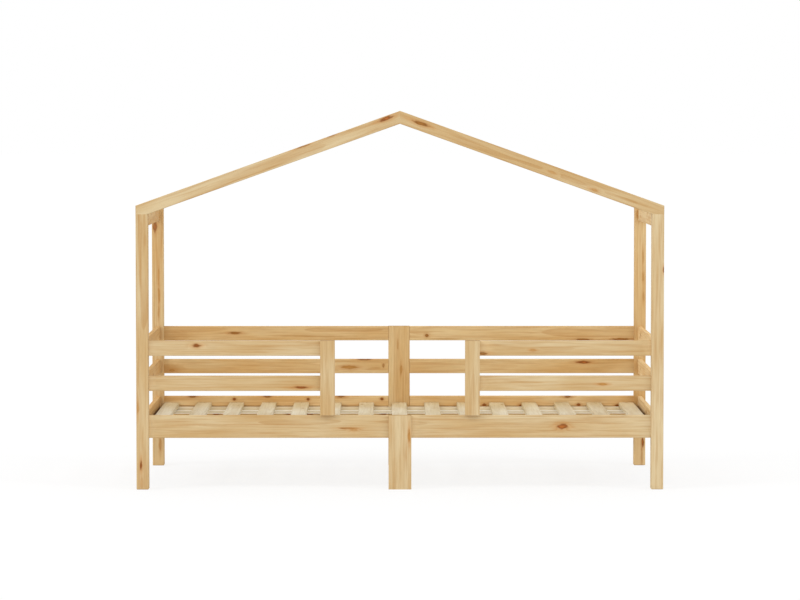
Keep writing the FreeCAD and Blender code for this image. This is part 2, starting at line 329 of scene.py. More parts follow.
class PineShader:
    """The wood of one timber, worked out in the round, so that faces, edges and ends all fit together.

    A noise is its cells per metre along the grain and across it, and its detail. A span is the two levels
    between which something changes, and then, where it has four numbers, how much there is before and after.
    """

    WAVE_NOISE = (9.0, 30.0, 1.0)
    RAGGED_NOISE = (50.0, 140.0, 2.0)
    FADE_NOISE = (3.0, 40.0, 1.0)
    FIBRE_NOISE = (26.0, 420.0, 3.0)
    FLECK_NOISE = (6.0, 150.0, 3.0)
    TONE_NOISE = (2.4, 14.0, 2.0)
    SWAY_NOISE = (1.7, 6.0, 2.0)
    MARK_RAGGED = 1.4
    STREAK_RAGGED = 0.6
    LENS_ALONG, LENS_ACROSS, LENS_ROUND = 1.5, 1.8, 0.6
    BULGE_FADE = -0.35
    CROWD_CELLS, CROWD_RINGS = 0.21, 1.8
    STRENGTH_CELLS, STRENGTH_SEED = 0.57, 3.0
    LINE_SPAN = (0.35, 0.95)
    LINE_END_SPAN = (0.96, 1.0, 1.0, 0.1)
    STRENGTH_SPAN = (0.32, 0.66, 0.15, 1.0)
    FADE_SPAN = (0.30, 0.62, 0.35, 1.0)
    STAIN_SPAN, STAIN_SHARE = (0.8, 3.0), 0.7
    KNOT_SPAN = (0.60, 1.50)
    KNOT_MIDDLE, KNOT_RIM = 0.3, 0.75
    TONE_SPAN = (0.26, 0.74)
    FLECK_SPAN = (0.42, 0.78)
    STREAK_SPAN = (0.2, 1.3)
    SIDE_SPAN = (-0.001, 0.001)
    EDGE_START, EDGE_END = 0.0040, 0.0015
    END_SPAN, END_SHARE = (0.55, 0.8), 0.75
    FAR_SHADE_SPAN = (-0.05, 0.48)
    FIBRE_ROUGH, LATEWOOD_ROUGH, END_ROUGH = 0.10, 0.06, 0.2
    RELIEF_STRENGTH, RELIEF_SHARE = 0.3, 0.5

    def __init__(self, finish: PineFinish, timber: "Timber") -> None:
        """Starts the material and measures each point along, across and through the timber.

        Args:
            finish: The pine's colours and figure.
            timber: The timber that the material is for.
        """
        self.finish = finish
        self.timber = timber
        self.bench = Bench(bpy.data.materials.new(f"{finish.name}_{timber.node}"))
        self.axes = timber.grain.axes
        local = self.bench.minus(self.bench.place(), timber.centre)
        self.u, self.v, self.w = (self.bench.dot(local, axis) for axis in self.axes)
        self.wave = (self._grain_noise(*self.WAVE_NOISE) - 0.5) * (finish.ripple * 2)
        self.ragged = (self._grain_noise(*self.RAGGED_NOISE) - 0.5) * self.MARK_RAGGED

    def _grain_noise(self, along: float, across: float, detail: float, output: str = "Fac") -> Wire:
        """A noise with so many cells per metre along the grain and across it."""
        vector = self.bench.stack(self.u * along + self.timber.seed, self.v * across, self.w * across)
        return self.bench.noise(vector, detail, output=output)

    def _near(self, mark: Knot | Streak) -> Wire:
        """Measures how far a point is from a mark's centre.

        Args:
            mark: The knot or streak.

        Returns:
            The distance, where 1 is the mark's lens-shaped outline.
        """
        offset = Vector((mark.x, mark.y, mark.z)) - self.timber.centre
        far_u = self.bench.absolute(self.u - offset.dot(self.axes[0])) / (mark.length / 2)
        far_v = self.bench.absolute(self.v + self.wave - offset.dot(self.axes[1])) / (mark.width / 2)
        return (far_u**self.LENS_ALONG + far_v**self.LENS_ACROSS) ** self.LENS_ROUND

    def _rings(self, knots: list[Wire]) -> Wire:
        """Counts growth rings outwards from the log's pith, crowded round each knot.

        Args:
            knots: How far a point is from each knot.

        Returns:
            The number of rings, with the share of the last one.
        """
        finish, timber, bench = self.finish, self.timber, self.bench
        sway = self._grain_noise(*self.SWAY_NOISE, "Color")
        split = bench.node("ShaderNodeSeparateColor", {0: sway})
        v_out = self.v + self.wave + (bench.wire(split, 0) - 0.5) * (finish.wander * 2) - timber.pith_across
        w_out = self.w + (bench.wire(split, 1) - 0.5) * (finish.wander * 2) - timber.pith_through
        w_out = w_out + self.u * timber.lean
        rings = bench.maths("SQRT", v_out * v_out + w_out * w_out) / finish.ring_pitch
        for near, knot in zip(knots, timber.knots):
            rings = rings + bench.maths("EXPONENT", near * near * self.BULGE_FADE) * knot.bulge
        crowd = bench.noise(bench.stack(rings * self.CROWD_CELLS, timber.seed, 0.0), 1.0)
        return rings + crowd * self.CROWD_RINGS

    def _latewood(self, rings: Wire) -> Wire:
        """Draws the rings, each of which darkens slowly and ends in a sharp line.

        Args:
            rings: The number of rings, with the share of the last one.

        Returns:
            How dark the wood is, 0 to 1.
        """
        bench = self.bench
        share = bench.maths("FRACT", rings)
        line = bench.smooth(share, *self.LINE_SPAN) * bench.smooth(share, *self.LINE_END_SPAN)
        strength = bench.noise(bench.stack(rings * self.STRENGTH_CELLS, self.STRENGTH_SEED, 0.0), 0.0)
        fade = self._grain_noise(*self.FADE_NOISE)
        line = line * bench.smooth(strength, *self.STRENGTH_SPAN)
        return line * bench.smooth(fade, *self.FADE_SPAN)

    def _shaded(self, colour: Wire, shade: Wire) -> Wire:
        """A colour made lighter or darker by a factor near 1."""
        return self.bench.mix(1.0, colour, self.bench.stack(shade, shade, shade), "MULTIPLY")

    def _with_streak(self, colour: Wire, streak: Streak) -> Wire:
        """Adds a streak, on one half of the timber only where the streak has a side.

        Args:
            colour: The wood's colour.
            streak: The streak.

        Returns:
            The colour with the streak.
        """
        bench = self.bench
        near = self._near(streak) + self.ragged * self.STREAK_RAGGED
        share = bench.smooth(near, *self.STREAK_SPAN, streak.strength, 0.0)
        if streak.side:
            share = share * bench.smooth(self.w * streak.side, *self.SIDE_SPAN)
        return bench.mix(share, colour, streak.wood)

    def _with_knot(self, colour: Wire, near: Wire, knot: Knot) -> Wire:
        """Adds the resin stain round a knot, its body and its darker rim.

        Args:
            colour: The wood's colour.
            near: How far a point is from the knot.
            knot: The knot.

        Returns:
            The colour with the knot.
        """
        bench = self.bench
        near = near + self.ragged
        stained = bench.smooth(near, *self.STAIN_SPAN, self.STAIN_SHARE * knot.strength, 0.0)
        colour = bench.mix(stained, colour, self.finish.stain)
        middle, rim = knot.wood.value
        stops = [(0.0, middle), (self.KNOT_MIDDLE, middle), (self.KNOT_RIM, rim), (1.0, rim)]
        body = bench.wire(bench.node("ShaderNodeValToRGB", {0: near}, {"stops": stops}))
        return bench.mix(bench.smooth(near, *self.KNOT_SPAN, knot.strength, 0.0), colour, body)

    def _edge(self) -> Wire:
        """Finds the timber's eased edges.

        Returns:
            1 along the edges and 0 on the faces.
        """
        bench, half = self.bench, self.timber.half
        near_v = bench.smooth(bench.absolute(self.v), half.y - self.EDGE_START, half.y - self.EDGE_END)
        near_w = bench.smooth(bench.absolute(self.w), half.z - self.EDGE_START, half.z - self.EDGE_END)
        return near_v * near_w

    def make(self) -> bpy.types.Material:
        """Builds colour, roughness and relief.

        Returns:
            The finished material.
        """
        bench, finish, timber = self.bench, self.finish, self.timber
        knots = [self._near(knot) for knot in timber.knots]
        latewood = self._latewood(self._rings(knots))
        fibre = self._grain_noise(*self.FIBRE_NOISE)
        flecks = self._grain_noise(*self.FLECK_NOISE)
        tone = self._grain_noise(*self.TONE_NOISE)
        tone = bench.smooth(tone, *(level - timber.warmth for level in self.TONE_SPAN))

        colour = bench.mix(tone, finish.pale, finish.warm)
        colour = bench.mix(latewood * finish.ring_strength, colour, finish.latewood)
        flecked = bench.smooth(flecks, *self.FLECK_SPAN, 0.0, finish.fleck_strength)
        colour = bench.mix(flecked, colour, finish.latewood)
        colour = self._shaded(colour, (fibre - 0.5) * finish.fibre_strength + timber.shade)
        for streak in timber.streaks:
            colour = self._with_streak(colour, streak)
        for near, knot in zip(knots, timber.knots):
            colour = self._with_knot(colour, near, knot)

        normal = bench.wire(bench.node("ShaderNodeNewGeometry"), "True Normal")
        end_grain = bench.smooth(bench.absolute(bench.dot(normal, self.axes[0])), *self.END_SPAN)
        # Painted highlight along the eased edges.
        if finish.edge_highlight:
            colour = bench.mix(self._edge() * finish.edge_highlight, colour, finish.edge)
        # Painted shade: darker and warmer towards the far end along the grain.
        colour = bench.mix(bench.smooth(self.u, *self.FAR_SHADE_SPAN), colour, finish.far_shade_tint, "MULTIPLY")
        colour = bench.mix(end_grain * self.END_SHARE, colour, finish.end_tint, "MULTIPLY")

        height = latewood * self.RELIEF_SHARE + fibre * self.RELIEF_SHARE
        bump = {"Strength": self.RELIEF_STRENGTH, "Distance": finish.relief, "Height": height}
        rough = fibre * self.FIBRE_ROUGH - latewood * self.LATEWOOD_ROUGH + end_grain * self.END_ROUGH
        return bench.finish(
            {
                "Base Color": colour,
                "Roughness": rough + finish.roughness,
                "Normal": bench.wire(bench.node("ShaderNodeBump", bump)),
                "Specular IOR Level": finish.specular,
            }
        )


class Draw(Enum):
    """The range that each of a timber's random numbers is drawn from."""

    SEED = (0.0, 90.0)
    PITH_ACROSS = (-0.020, 0.020)
    PITH_THROUGH = (0.028, 0.055)
    LEAN = (0.003, 0.012)
    KNOT_ALONG = (-0.9, 0.9)
    KNOT_ACROSS = (-0.7, 0.7)
    KNOT_WIDTH = (0.007, 0.013)
    KNOT_LENGTH = (1.1, 2.0)

    def pick(self, chance: random.Random) -> float:
        """A number from the range."""
        return chance.uniform(*self.value)


@dataclass
class Timber:
    """One timber of the bed, and how it was cut from its log."""

    node: str
    grain: Grain
    finish: PineFinish
    marks: tuple[Knot | Streak, ...] = ()
    # Warmth and shade tint and scale the whole timber's colour; where they are set by end, for the top beams,
    # the rear rails and the rear-left post, they are painted shade and light.
    warmth: float = 0.0
    shade: float = 1.0
    stray_knots: int = 0

    def __post_init__(self) -> None:
        """Draws the cut's random sizes from the timber's own name, so that each run gives the same wood."""
        low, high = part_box(self.node)
        self.centre, self.half = self._measure(low, high)
        chance = random.Random(self.node)
        self.seed = Draw.SEED.pick(chance)
        self.pith_across = Draw.PITH_ACROSS.pick(chance)
        self.pith_through = chance.choice((-1, 1)) * Draw.PITH_THROUGH.pick(chance)
        self.lean = chance.choice((-1, 1)) * Draw.LEAN.pick(chance)
        self.streaks = [mark for mark in self.marks if isinstance(mark, Streak)]
        self.knots = [mark for mark in self.marks if isinstance(mark, Knot)]
        self.knots += [self._stray_knot(chance) for _ in range(self.stray_knots)]

    def _measure(self, low: Vector, high: Vector) -> tuple[Vector, Vector]:
        """The middle of the timber, and its half length, half width and half thickness."""
        half = (high - low) / 2
        return (low + high) / 2, Vector([abs(half.dot(axis)) for axis in self.grain.axes])

    def _stray_knot(self, chance: random.Random) -> Knot:
        """Draws a small knot anywhere on a timber that isn't seen closely.

        Args:
            chance: The timber's random numbers.

        Returns:
            The knot.
        """
        along, across, _ = self.grain.axes
        place = self.centre + along * (Draw.KNOT_ALONG.pick(chance) * self.half.x)
        place = place + across * (Draw.KNOT_ACROSS.pick(chance) * self.half.y)
        width = Draw.KNOT_WIDTH.pick(chance)
        length = width * Draw.KNOT_LENGTH.pick(chance)
        return Knot(*place, length, width, chance.choice(list(KnotWood)), strength=0.8)

    def dress(self) -> None:
        """Puts the timber's own material on its node."""
        fill_slots(self.node, PineShader(self.finish, self).make())
        LOG.info("%s dressed, %d knots", self.node, len(self.knots))


@dataclass
class Rafter(Timber):
    """A timber that slopes, so that its box doesn't give its middle line."""

    section: float = 0.048

    def _measure(self, low: Vector, high: Vector) -> tuple[Vector, Vector]:
        """Measures the rafter, whose middle line lies half a section below its top face.

        Args:
            low: The lowest corner of its box.
            high: The highest corner.

        Returns:
            Its middle and its half sizes.
        """
        middle = (low + high) / 2
        drop = abs(middle.x) * ROOF_SIN / ROOF_COS + self.section / 2 / ROOF_COS
        half = Vector(((high.x - low.x) / 2 / ROOF_COS, self.section / 2, self.section / 2))
        return Vector((middle.x, middle.y, high.z - drop)), half


SAPWOOD = PineFinish("sapwood_pine")
# Warmer pine for the rear, the ends, the beams and the rear rafters: partly a warmer wood, partly the warm
# shade at the back of the bed painted in.
HEARTWOOD_AND_SHADE = PineFinish(
    "heartwood_and_shade_pine",
    pale=srgb(219, 192, 144),
    warm=srgb(206, 167, 110),
    latewood=srgb(182, 130, 70),
)
RAW = PineFinish(
    "raw_pine",
    pale=srgb(223, 214, 191),
    warm=srgb(207, 192, 159),
    latewood=srgb(185, 159, 119),
    # Painted shade: the slats darker and warmer towards the rear, under the rear boards.
    far_shade_tint=(0.92, 0.82, 0.63, 1.0),
    stain=srgb(196, 166, 120),
    ring_strength=0.35,
    fleck_strength=0.30,
    roughness=0.75,
)
SAWN = PineFinish(
    "sawn_pine",
    pale=srgb(236, 224, 198),
    warm=srgb(222, 206, 172),
    latewood=srgb(198, 172, 126),
    stain=srgb(204, 170, 120),
    ring_strength=0.25,
    fleck_strength=0.25,
    roughness=0.8,
)
# The cleats' sawn pine, with a near-white painted highlight along their edges.
CLEAT_WOOD = replace(SAWN, name="cleat_pine", edge=srgb(255, 250, 236), edge_highlight=0.9)
# Painted shade: a dark brown for the end cleats, so that the slot beside the outermost slats reads dark.
SLOT_SHADE_WOOD = replace(
    HEARTWOOD_AND_SHADE,
    name="slot_shade_pine",
    pale=srgb(120, 82, 46),
    warm=srgb(104, 66, 34),
    latewood=srgb(88, 54, 26),
)


# ---- sub-assemblies


class SubAssembly:
    """A group of timbers that are dressed together."""

    def timbers(self) -> Iterator[Timber]:
        """The group's timbers with the knots and streaks that show on them."""
        raise NotImplementedError

    def dress(self) -> None:
        """Dresses every timber of the group."""
        for timber in self.timbers():
            timber.dress()


@dataclass
class HouseFrame(SubAssembly):
    """Corner posts, rafters, top beams and ridge beam."""

    rafter_knots: int = 3
    beam_knots: int = 2

    def timbers(self) -> Iterator[Timber]:
        """The frame's timbers."""
        yield from self._front_posts()
        yield from self._rear_posts()
        yield from self._rafters()
        # The left top beam is painted darker and warmer and the right one lighter: painted shade and light on
        # their inner faces.
        beams = (("left_top", 0.15, 0.92), ("right_top", -0.20, 0.97), ("ridge", 0.0, 1.0))
        for name, warmth, shade in beams:
            yield Timber(f"{name}_beam", Grain.CROSS_RAIL, HEARTWOOD_AND_SHADE, (), warmth, shade, self.beam_knots)

    def _front_posts(self) -> Iterator[Timber]:
        """The corner posts beside the entrance."""
        yield Timber(
            "front_left_post",
            Grain.POST,
            SAPWOOD,
            (
                Knot(x=-1.033, z=0.323, length=0.048, width=0.008, wood=PALE, strength=0.6),
                Knot(x=-1.022, z=0.097, length=0.038, width=0.009, wood=DARK),
                Knot(x=-1.020, z=0.026, length=0.050, width=0.010, wood=PALE, strength=0.35),
                Streak(x=-1.020, z=0.90, length=0.50, width=0.010),
                Streak(x=-1.030, z=0.55, length=0.40, width=0.007),
            ),
        )
        knot = Knot(x=1.038, z=0.868, length=0.022, width=0.006, wood=BROWN)
        yield Timber("front_right_post", Grain.POST, SAPWOOD, (knot,), warmth=-0.20)

    def _rear_posts(self) -> Iterator[Timber]:
        """The corner posts at the rear."""
        yield Timber(
            "rear_left_post",
            Grain.POST,
            HEARTWOOD_AND_SHADE,
            (
                Knot(x=-1.026, z=1.008, length=0.040, width=0.016, strength=0.75),
                Knot(x=-1.012, z=0.800, length=0.050, width=0.006, wood=PALE, strength=0.6),
                Knot(x=-1.011, z=0.720, length=0.060, width=0.007, wood=PALE, strength=0.8),
                Knot(x=-1.012, z=0.644, length=0.050, width=0.006, wood=PALE, strength=0.6),
                Knot(x=-1.007, z=0.088, length=0.050, width=0.010, wood=PALE, strength=0.6),
                Streak(x=-1.010, z=0.86, length=0.34, width=0.008),
                Streak(x=-1.030, z=0.70, length=0.40, width=0.008),
                # Painted light on the foot, lifting the shade under the frame.
                Streak(x=-1.016, z=0.03, length=0.36, width=0.160, strength=0.18, wood=PAINTED_LIGHT),
            ),
            # The shade here darkens the post a little: painted shade.
            warmth=-0.10,
            shade=0.96,
        )
        yield Timber(
            "rear_right_post",
            Grain.POST,
            HEARTWOOD_AND_SHADE,
            (
                Knot(x=1.005, z=1.061, length=0.032, width=0.012, wood=PALE, strength=0.6),
                Knot(x=1.027, z=0.885, length=0.060, width=0.006, wood=PALE, strength=0.6),
                Knot(x=1.028, z=0.795, length=0.044, width=0.006, wood=PALE, strength=0.7),
                Knot(x=1.028, z=0.712, length=0.040, width=0.006, wood=PALE, strength=0.6),
                Knot(x=1.029, z=0.099, length=0.036, width=0.010),
                Knot(x=1.025, z=0.037, length=0.060, width=0.006, wood=PALE, strength=0.5),
                # Painted light on the foot, lifting the shade under the frame.
                Streak(x=1.016, z=0.03, length=0.36, width=0.160, strength=0.55, wood=PAINTED_LIGHT),
            ),
        )

    def _rafters(self) -> Iterator[Timber]:
        """Both pairs of rafters."""
        yield Rafter(
            "front_left_rafter",
            Grain.LEFT_RAFTER,
            SAPWOOD,
            (
                Knot(x=-0.055, z=1.463, length=0.052, width=0.014),
                Knot(x=-0.383, z=1.353, length=0.050, width=0.006, wood=BROWN, strength=0.7),
                Knot(x=-0.268, z=1.395, length=0.036, width=0.006, wood=BROWN, strength=0.6),
                Streak(x=-0.180, z=1.418, length=0.24, width=0.014, strength=0.3),
            ),
            warmth=-0.06,
        )
        yield Rafter(
            "front_right_rafter",
            Grain.RIGHT_RAFTER,
            SAPWOOD,
            (
                Knot(x=0.083, z=1.4435, length=0.060, width=0.012, wood=BROWN),
                Knot(x=0.598, z=1.2505, length=0.026, width=0.008, wood=PALE, strength=0.4),
                Knot(x=0.763, z=1.182, length=0.026, width=0.009, wood=PALE, strength=0.6),
            ),
            warmth=0.12,
        )
        yield Rafter("rear_left_rafter", Grain.LEFT_RAFTER, HEARTWOOD_AND_SHADE, stray_knots=self.rafter_knots)
        yield Rafter("rear_right_rafter", Grain.RIGHT_RAFTER, HEARTWOOD_AND_SHADE, stray_knots=self.rafter_knots)


@dataclass
class LongSide(SubAssembly):
    """A long side of the bed, all of one wood."""

    finish: PineFinish

    def timber(self, node: str, *marks: Knot | Streak, grain: Grain = Grain.RAIL, **look: float) -> Timber:
        """A rail or board, or with another grain a post, with its knots and streaks."""
        return Timber(node, grain, self.finish, marks, **look)


@dataclass
class FrontSide(LongSide):
    """Half rails, centre leg, guards and guard posts of the entrance side."""

    finish: PineFinish = SAPWOOD
    post_face: float = 0.992
    guard_face: float = 0.315
    leg_face: float = 0.045
    rail_z: float = 0.248
    lower_z: float = 0.420
    upper_z: float = 0.565

    def timbers(self) -> Iterator[Timber]:
        """The front's timbers."""
        yield from self._rails()
        yield from self._guards()
        yield self.timber("left_guard_post", grain=Grain.POST, warmth=0.04)
        yield self.timber("right_guard_post", grain=Grain.POST, warmth=0.12)

    @staticmethod
    def _painted_end_light(x: float, z: float, length: float = 0.06) -> Streak:
        """Painted light at a board's end, lifting the shade that the post beside it casts there."""
        return Streak(x=x, z=z, length=length, width=0.40, strength=0.33, wood=PAINTED_LIGHT, side=-1)

    def _rails(self) -> Iterator[Timber]:
        """Both half rails and the leg between them."""
        yield self.timber(
            "front_left_rail",
            Knot(x=-0.203, z=0.2415, length=0.060, width=0.006, wood=BROWN, strength=0.6),
            Knot(x=-0.182, z=0.2350, length=0.030, width=0.013, wood=PALE, strength=0.4),
            Streak(x=-0.86, z=0.254, length=0.24, width=0.007, strength=0.45),
            Streak(x=-0.60, z=0.256, length=0.30, width=0.007, strength=0.45),
            Streak(x=-0.215, z=0.243, length=0.09, width=0.006, strength=0.6),
            self._painted_end_light(-self.post_face, self.rail_z),
        )
        yield self.timber(
            "front_right_rail",
            Knot(x=0.641, z=0.248, length=0.037, width=0.019, bulge=2.4),
            Streak(x=0.16, z=0.276, length=0.36, width=0.008),
            Streak(x=0.70, z=0.262, length=0.50, width=0.006),
            self._painted_end_light(self.leg_face, self.rail_z),
            warmth=-0.05,
        )
        yield self.timber(
            "front_centre_leg",
            Knot(x=0.036, z=0.212, length=0.048, width=0.008, wood=PALE),
            Streak(x=0.024, z=0.137, length=0.12, width=0.006),
            grain=Grain.POST,
            warmth=-0.10,
        )

    def _guards(self) -> Iterator[Timber]:
        """The guard boards, first those left of the entrance."""
        yield self.timber(
            "front_left_upper_guard",
            Knot(x=-0.802, z=0.5695, length=0.030, width=0.014, wood=DARK, bulge=2.0),
            Streak(x=-0.50, z=0.570, length=0.5, width=0.006),
            self._painted_end_light(-self.post_face, self.upper_z),
        )
        yield self.timber(
            "front_left_lower_guard",
            Knot(x=-0.388, z=0.403, length=0.056, width=0.008, wood=DARK, bulge=2.0),
            Streak(x=-0.80, z=0.402, length=0.36, width=0.006),
            Streak(x=-0.40, z=0.402, length=0.16, width=0.020),
            self._painted_end_light(-self.post_face, self.lower_z),
            warmth=0.10,
        )
        yield self.timber(
            "front_right_upper_guard",
            Knot(x=0.327, z=0.5365, length=0.036, width=0.011, wood=BROWN, strength=0.8),
            Knot(x=0.525, z=0.551, length=0.020, width=0.008, wood=PALE, strength=0.6),
            self._painted_end_light(self.guard_face, self.upper_z, length=0.10),
            self._painted_end_light(self.post_face, self.upper_z),
            warmth=0.06,
        )
        yield self.timber(
            "front_right_lower_guard",
            Knot(x=0.800, z=0.416, length=0.034, width=0.008, wood=PALE),
            Streak(x=0.500, z=0.424, length=0.30, width=0.006, strength=0.5),
            self._painted_end_light(self.guard_face, self.lower_z),
        )


@dataclass
class RearSide(LongSide):
    """Half rails, centre post and boards of the rear side."""

    finish: PineFinish = HEARTWOOD_AND_SHADE
    # The rail shade lightens both rear rails: painted light in their shade.
    rail_shade: float = 1.08
    rail_middle: float = 0.52

    def timbers(self) -> Iterator[Timber]:
        """The rear's timbers."""
        yield from self._rails()
        yield from self._boards()

    @staticmethod
    def _knots(length: float, width: float, wood: KnotWood, *places: tuple[float, float]) -> list[Knot]:
        """Knots of one size and wood, each at its x and z."""
        return [Knot(x=x, z=z, length=length, width=width, wood=wood) for x, z in places]

    @staticmethod
    def _painted_strip_shade(middle: float) -> Streak:
        """Painted shade along a rail's front face, just above the slats' strip that lies against it."""
        return Streak(x=middle, z=0.250, length=3.0, width=0.008, strength=0.5, wood=SHADED, side=-1)

    def _rails(self) -> Iterator[Timber]:
        """Both half rails and the post between them."""
        yield self.timber(
            "rear_left_rail",
            *self._knots(0.012, 0.011, DARK, (-0.695, 0.280), (-0.384, 0.279), (-0.072, 0.280)),
            *self._knots(0.030, 0.009, BROWN, (-0.870, 0.290), (-0.558, 0.290), (-0.246, 0.290)),
            *self._knots(0.022, 0.012, RED, (-0.770, 0.217), (-0.462, 0.217)),
            Knot(x=-0.377, z=0.217, length=0.026, width=0.012),
            Knot(x=-0.065, z=0.217, length=0.024, width=0.012),
            self._painted_strip_shade(-self.rail_middle),
            shade=self.rail_shade,
        )
        yield self.timber(
            "rear_right_rail",
            *self._knots(0.016, 0.011, DARK, (0.360, 0.255), (0.5165, 0.252), (0.759, 0.255)),
            Knot(x=0.9216, z=0.252, length=0.018, width=0.011, wood=DARK),
            Knot(x=0.7115, z=0.289, length=0.030, width=0.009, wood=BROWN),
            self._painted_strip_shade(self.rail_middle),
            shade=self.rail_shade,
        )
        yield self.timber(
            "rear_centre_post",
            Knot(x=-0.005, z=0.505, length=0.044, width=0.005, wood=PALE, strength=0.6),
            Knot(x=0.008, z=0.405, length=0.036, width=0.009, wood=PALE, strength=0.7),
            Streak(x=-0.01, z=0.45, length=0.14, width=0.008, strength=0.2),
            grain=Grain.POST,
            warmth=-0.05,
        )

    def _boards(self) -> Iterator[Timber]:
        """The boards above the rails, first those left of the centre post."""
        yield self.timber(
            "rear_left_lower_board",
            Knot(x=-0.210, z=0.414, length=0.058, width=0.013, wood=PALE),
            Knot(x=-0.144, z=0.447, length=0.052, width=0.006, wood=BROWN),
            Knot(x=-0.066, z=0.423, length=0.007, width=0.018, wood=BROWN, strength=0.6),
            Knot(x=-0.958, z=0.402, length=0.020, width=0.010, wood=PALE),
            # Painted shade: darker and more orange near the post.
            Streak(x=-0.960, z=0.410, length=0.14, width=0.045, strength=0.5),
        )
        yield self.timber(
            "rear_left_upper_board",
            Knot(x=-0.692, z=0.559, length=0.044, width=0.009, wood=BROWN, strength=0.85),
            Streak(x=-0.34, z=0.546, length=0.42, width=0.007, strength=0.6),
            # Painted shade: darker and more orange near the post.
            Streak(x=-0.945, z=0.548, length=0.18, width=0.060, strength=0.45),
        )
        yield self.timber("rear_right_lower_board", Knot(x=0.779, z=0.4365, length=0.052, width=0.011))
        yield self.timber(
            "rear_right_upper_board",
            Knot(x=0.117, z=0.549, length=0.014, width=0.012, wood=BROWN),
            Knot(x=0.776, z=0.531, length=0.060, width=0.009, wood=BROWN),
            Knot(x=0.932, z=0.533, length=0.070, width=0.009, wood=BROWN),
            Streak(x=0.20, z=0.535, length=0.20, width=0.010, strength=0.5),
            warmth=-0.08,
        )


@dataclass(frozen=True)
class EndLook:
    """One end of the bed: which way its inside looks along X, and the warmth and shade that paint light and
    shade on its timbers.
    """

    side: str
    inwards: int
    warmth: float
    board_shade: float
    rail_shade: float


@dataclass
class EndFrames(SubAssembly):
    """Rail and two boards at each end of the bed; the left end's are painted darker and redder and the right
    end's lighter, as painted shade and light on their inner faces.
    """

    finish: PineFinish = HEARTWOOD_AND_SHADE
    stray_knots: int = 2
    ends: tuple[EndLook, ...] = (
        EndLook("left", inwards=1, warmth=0.20, board_shade=0.98, rail_shade=1.05),
        EndLook("right", inwards=-1, warmth=-0.08, board_shade=1.12, rail_shade=1.08),
    )

    def timbers(self) -> Iterator[Timber]:
        """Both ends' timbers."""
        for end in self.ends:
            yield self._timber("end_rail", end, end.rail_shade, self._painted_slot_shade(end.inwards))
            yield self._timber("lower_end_board", end, end.board_shade)
            yield self._timber("upper_end_board", end, end.board_shade)

    def _timber(self, name: str, end: EndLook, shade: float, *marks: Streak) -> Timber:
        """One timber of an end."""
        node, grain = f"{end.side}_{name}", Grain.CROSS_RAIL
        return Timber(node, grain, self.finish, marks, end.warmth, shade, self.stray_knots)

    @staticmethod
    def _painted_slot_shade(inwards: int) -> Streak:
        """Painted shade: a dark line on a rail's inner face, low in the slot beside the outermost slat."""
        return Streak(z=0.242, length=3.0, width=0.030, strength=0.95, wood=DEEP_SHADE, side=inwards)


@dataclass
class SlattedBase(SubAssembly):
    """Slats, strips and long cleats of pale, unfinished pine, and end cleats in a dark brown that is painted
    shade.
    """

    slats: int = 15
    first_slat_shade: float = 0.95

    def timbers(self) -> Iterator[Timber]:
        """The base's timbers."""
        for number in range(1, self.slats + 1):
            shade = self.first_slat_shade if number == 1 else 1.0
            yield Timber(f"slat_{number:02d}", Grain.SLAT, RAW, shade=shade, stray_knots=number % 2)
        for row in ("front", "rear"):
            yield Timber(f"{row}_slat_strip", Grain.STRIP, SAWN, stray_knots=2)
            yield Timber(f"{row}_cleat", Grain.STRIP, CLEAT_WOOD, stray_knots=3)
        for side in ("left", "right"):
            yield Timber(f"{side}_cleat", Grain.SLAT, SLOT_SHADE_WOOD, stray_knots=1)


class Plating(Enum):
    """The two platings of the bed's steel: the bright and the dull colour of each."""

    BRIGHT_ZINC = (srgb(202, 204, 206), srgb(150, 152, 156))
    YELLOW_ZINC = (srgb(206, 182, 128), srgb(164, 136, 86))


@dataclass(frozen=True)
class PlatedSteel:
    """Zinc-plated steel, a little clouded."""

    plating: Plating
    clouds_per_metre: float = 420.0
    cloud_detail: float = 3.0
    roughness: float = 0.25
    cloud_roughness: float = 0.25

    def make(self, name: str) -> bpy.types.Material:
        """Makes the clouded steel.

        Args:
            name: The material's name.

        Returns:
            The finished material.
        """
        bench = Bench(bpy.data.materials.new(name))
        bright, dull = self.plating.value
        cloud = bench.noise(bench.place(), self.cloud_detail, self.clouds_per_metre)
        return bench.finish(
            {
                "Base Color": bench.mix(cloud, dull, bright),
                "Metallic": 1.0,
                "Roughness": cloud * self.cloud_roughness + self.roughness,
            }
        )


